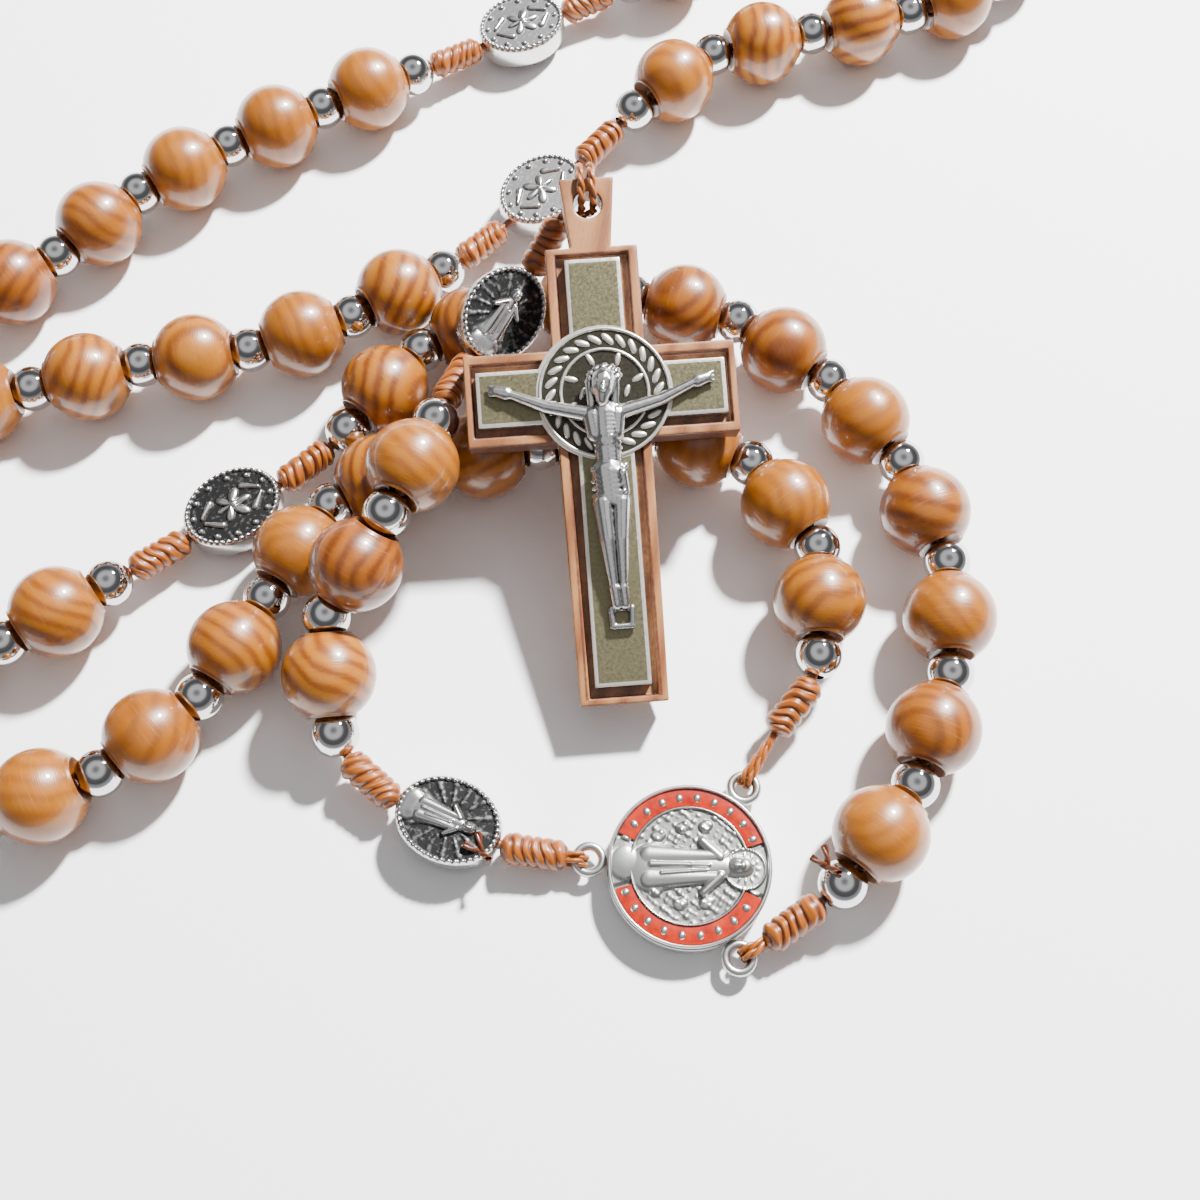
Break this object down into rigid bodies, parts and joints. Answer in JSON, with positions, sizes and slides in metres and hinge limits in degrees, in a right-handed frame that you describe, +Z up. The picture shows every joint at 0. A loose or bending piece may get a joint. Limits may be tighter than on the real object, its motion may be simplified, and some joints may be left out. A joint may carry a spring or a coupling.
{
  "type": "rosary",
  "caption": "Rosary laid out flat: loop of turned wooden beads with metal spacers, knots and oval medals, a round centre medal and a pendant that ends in a crucifix.",
  "frame": {"origin": "middle of the round centre medal's back, where it rests on the table", "axes": "+Z up from the table, +Y from the centre medal towards the top of the crucifix, +X to the right, towards the two rings of the loop"},
  "size_m": [0.1303, 0.1236, 0.0187],
  "materials": {
    "wood": "honey-brown wood with growth rings, glossy lacquer on the beads",
    "chrome": "mirror-bright plated balls",
    "silver": "antiqued silver-coloured casting with dark recesses",
    "enamel": "orange-red enamel",
    "champagne": "pale champagne-coloured metal inlay, satin with a polished edge",
    "cord": "caramel-brown twisted nylon cord with a satin sheen"
  },
  "bodies": {
    "root": {"centre_medal": "silver", "centre_enamel": "enamel", "ring_eyes": "cord", "loop_knot_1": "cord", "loop_knot_2": "cord", "loop_knot_3": "cord", "loop_knot_4": "cord", "loop_knot_5": "cord", "loop_knot_6": "cord", "loop_knot_7": "cord", "loop_knot_8": "cord", "loop_knot_9": "cord", "loop_knot_10": "cord", "medal_cord_1": "cord", "medal_cord_2": "cord", "medal_cord_3": "cord", "medal_cord_4": "cord", "decade_1_cord": "cord", "decade_1_spacers": "chrome", "decade_5_cord": "cord", "decade_5_spacers": "chrome", "decade_5_beads": "wood"},
    "loop_medal_1": {"loop_medal_1": "silver"},
    "loop_medal_2": {"loop_medal_2": "silver"},
    "loop_medal_3": {"loop_medal_3": "silver"},
    "loop_medal_4": {"loop_medal_4": "silver"},
    "decade_1_bead_1": {"decade_1_bead_1": "wood"},
    "decade_1_bead_2": {"decade_1_bead_2": "wood"},
    "decade_1_bead_3": {"decade_1_bead_3": "wood"},
    "decade_1_bead_4": {"decade_1_bead_4": "wood"},
    "decade_1_bead_5": {"decade_1_bead_5": "wood"},
    "decade_1_bead_6": {"decade_1_bead_6": "wood"},
    "decade_1_bead_7": {"decade_1_bead_7": "wood"},
    "decade_1_bead_8": {"decade_1_bead_8": "wood"},
    "decade_1_bead_9": {"decade_1_bead_9": "wood"},
    "decade_1_bead_10": {"decade_1_bead_10": "wood"},
    "decade_2": {"decade_2_cord": "cord", "decade_2_spacers": "chrome", "decade_2_beads": "wood"},
    "decade_3": {"decade_3_cord": "cord", "decade_3_spacers": "chrome", "decade_3_beads": "wood"},
    "decade_4": {"decade_4_cord": "cord", "decade_4_spacers": "chrome", "decade_4_beads": "wood"},
    "pendant": {"pendant_knot_1": "cord", "pendant_knot_2": "cord", "pendant_knot_3": "cord", "pendant_knot_4": "cord", "pendant_cord": "cord", "pendant_spacers": "chrome", "cross_eye": "cord"},
    "pendant_medal_1": {"pendant_medal_1": "silver"},
    "pendant_medal_2": {"pendant_medal_2": "silver"},
    "pendant_bead_1": {"pendant_bead_1": "wood"},
    "pendant_bead_2": {"pendant_bead_2": "wood"},
    "pendant_bead_3": {"pendant_bead_3": "wood"},
    "crucifix": {"cross_body": "wood", "cross_inlay": "champagne", "corpus": "silver"}
  },
  "joints": [
    {"name": "turn_loop_medal_1", "type": "hinge", "parent": "root", "child": "loop_medal_1", "pos_m": [-0.04029, 0.03216, 0.00232], "axis": [-0.8214, -0.5704, -0.0009], "range_deg": [0, 180]},
    {"name": "turn_loop_medal_2", "type": "hinge", "parent": "root", "child": "loop_medal_2", "pos_m": [-0.01312, 0.06655, 0.00242], "axis": [0.6971, 0.7169, 0.0034], "range_deg": [0, 180]},
    {"name": "turn_loop_medal_3", "type": "hinge", "parent": "root", "child": "loop_medal_3", "pos_m": [-0.01546, 0.08728, 0.00241], "axis": [-0.8817, -0.4719, 0.0013], "range_deg": [0, 180]},
    {"name": "turn_loop_medal_4", "type": "hinge", "parent": "root", "child": "loop_medal_4", "pos_m": [-0.07054, 0.00545, 0.00245], "axis": [0.9298, -0.368, -0.0101], "range_deg": [0, 180]},
    {"name": "spin_decade_1_bead_1", "type": "hinge", "parent": "root", "child": "decade_1_bead_1", "pos_m": [0.0156, 0.00227, 0.004], "axis": [0.6157, 0.7846, 0.0728], "continuous": true},
    {"name": "spin_decade_1_bead_2", "type": "hinge", "parent": "root", "child": "decade_1_bead_2", "pos_m": [0.02063, 0.01121, 0.004], "axis": [0.3613, 0.9324, 0], "continuous": true},
    {"name": "spin_decade_1_bead_3", "type": "hinge", "parent": "root", "child": "decade_1_bead_3", "pos_m": [0.02285, 0.02124, 0.004], "axis": [0.0589, 0.9983, 0], "continuous": true},
    {"name": "spin_decade_1_bead_4", "type": "hinge", "parent": "root", "child": "decade_1_bead_4", "pos_m": [0.02155, 0.03136, 0.004], "axis": [-0.3116, 0.9502, 0], "continuous": true},
    {"name": "spin_decade_1_bead_5", "type": "hinge", "parent": "root", "child": "decade_1_bead_5", "pos_m": [0.01685, 0.0405, 0.004], "axis": [-0.585, 0.811, 0], "continuous": true},
    {"name": "spin_decade_1_bead_6", "type": "hinge", "parent": "root", "child": "decade_1_bead_6", "pos_m": [0.00973, 0.04793, 0.004], "axis": [-0.7883, 0.6153, 0], "continuous": true},
    {"name": "spin_decade_1_bead_7", "type": "hinge", "parent": "root", "child": "decade_1_bead_7", "pos_m": [0.00066, 0.0526, 0.004], "axis": [-0.9607, 0.2775, 0], "continuous": true},
    {"name": "spin_decade_1_bead_8", "type": "hinge", "parent": "root", "child": "decade_1_bead_8", "pos_m": [-0.00946, 0.05311, 0.004], "axis": [-0.9864, -0.1645, 0], "continuous": true},
    {"name": "spin_decade_1_bead_9", "type": "hinge", "parent": "root", "child": "decade_1_bead_9", "pos_m": [-0.01932, 0.05016, 0.004], "axis": [-0.9093, -0.4161, 0], "continuous": true},
    {"name": "spin_decade_1_bead_10", "type": "hinge", "parent": "root", "child": "decade_1_bead_10", "pos_m": [-0.02714, 0.04382, 0.004], "axis": [-0.6161, -0.7864, -0.0443], "continuous": true},
    {"name": "lift_decade_2", "type": "hinge", "parent": "root", "child": "decade_2", "pos_m": [-0.04773, 0.02681, 0.00275], "axis": [0.6468, 0.7626, -0.0007], "range_deg": [0, 10]},
    {"name": "lift_decade_3", "type": "hinge", "parent": "root", "child": "decade_3", "pos_m": [-0.00632, 0.07355, 0.00299], "axis": [0.0508, -0.9986, 0.0126], "range_deg": [0, 90]},
    {"name": "lift_decade_4", "type": "hinge", "parent": "root", "child": "decade_4", "pos_m": [-0.0235, 0.0827, 0.00278], "axis": [0.604, 0.797, -0.0007], "range_deg": [0, 90]},
    {"name": "lift_pendant", "type": "hinge", "parent": "root", "child": "pendant", "pos_m": [-0.0112, 0.00103, 0.00167], "axis": [0.9063, 0.4226, 0], "range_deg": [0, 75]},
    {"name": "turn_pendant_medal_1", "type": "hinge", "parent": "pendant", "child": "pendant_medal_1", "pos_m": [-0.0199, 0.00364, 0.00214], "axis": [-0.9213, 0.3873, 0.0343], "range_deg": [0, 180]},
    {"name": "turn_pendant_medal_2", "type": "hinge", "parent": "pendant", "child": "pendant_medal_2", "pos_m": [-0.01614, 0.04812, 0.00964], "axis": [0.5375, 0.8283, 0.1583], "range_deg": [0, 30]},
    {"name": "spin_pendant_bead_1", "type": "hinge", "parent": "pendant", "child": "pendant_bead_1", "pos_m": [-0.03024, 0.01567, 0.00487], "axis": [-0.0866, 0.9498, 0.3005], "continuous": true},
    {"name": "spin_pendant_bead_2", "type": "hinge", "parent": "pendant", "child": "pendant_bead_2", "pos_m": [-0.02789, 0.02416, 0.00868], "axis": [0.5136, 0.7425, 0.43], "continuous": true},
    {"name": "spin_pendant_bead_3", "type": "hinge", "parent": "pendant", "child": "pendant_bead_3", "pos_m": [-0.02329, 0.0325, 0.01066], "axis": [0.3709, 0.9261, -0.0696], "continuous": true},
    {"name": "swing_crucifix", "type": "hinge", "parent": "pendant", "child": "crucifix", "pos_m": [-0.00859, 0.05672, 0.0162], "axis": [-0.9971, -0.0767, 0], "range_deg": [0, 90]}
  ]
}
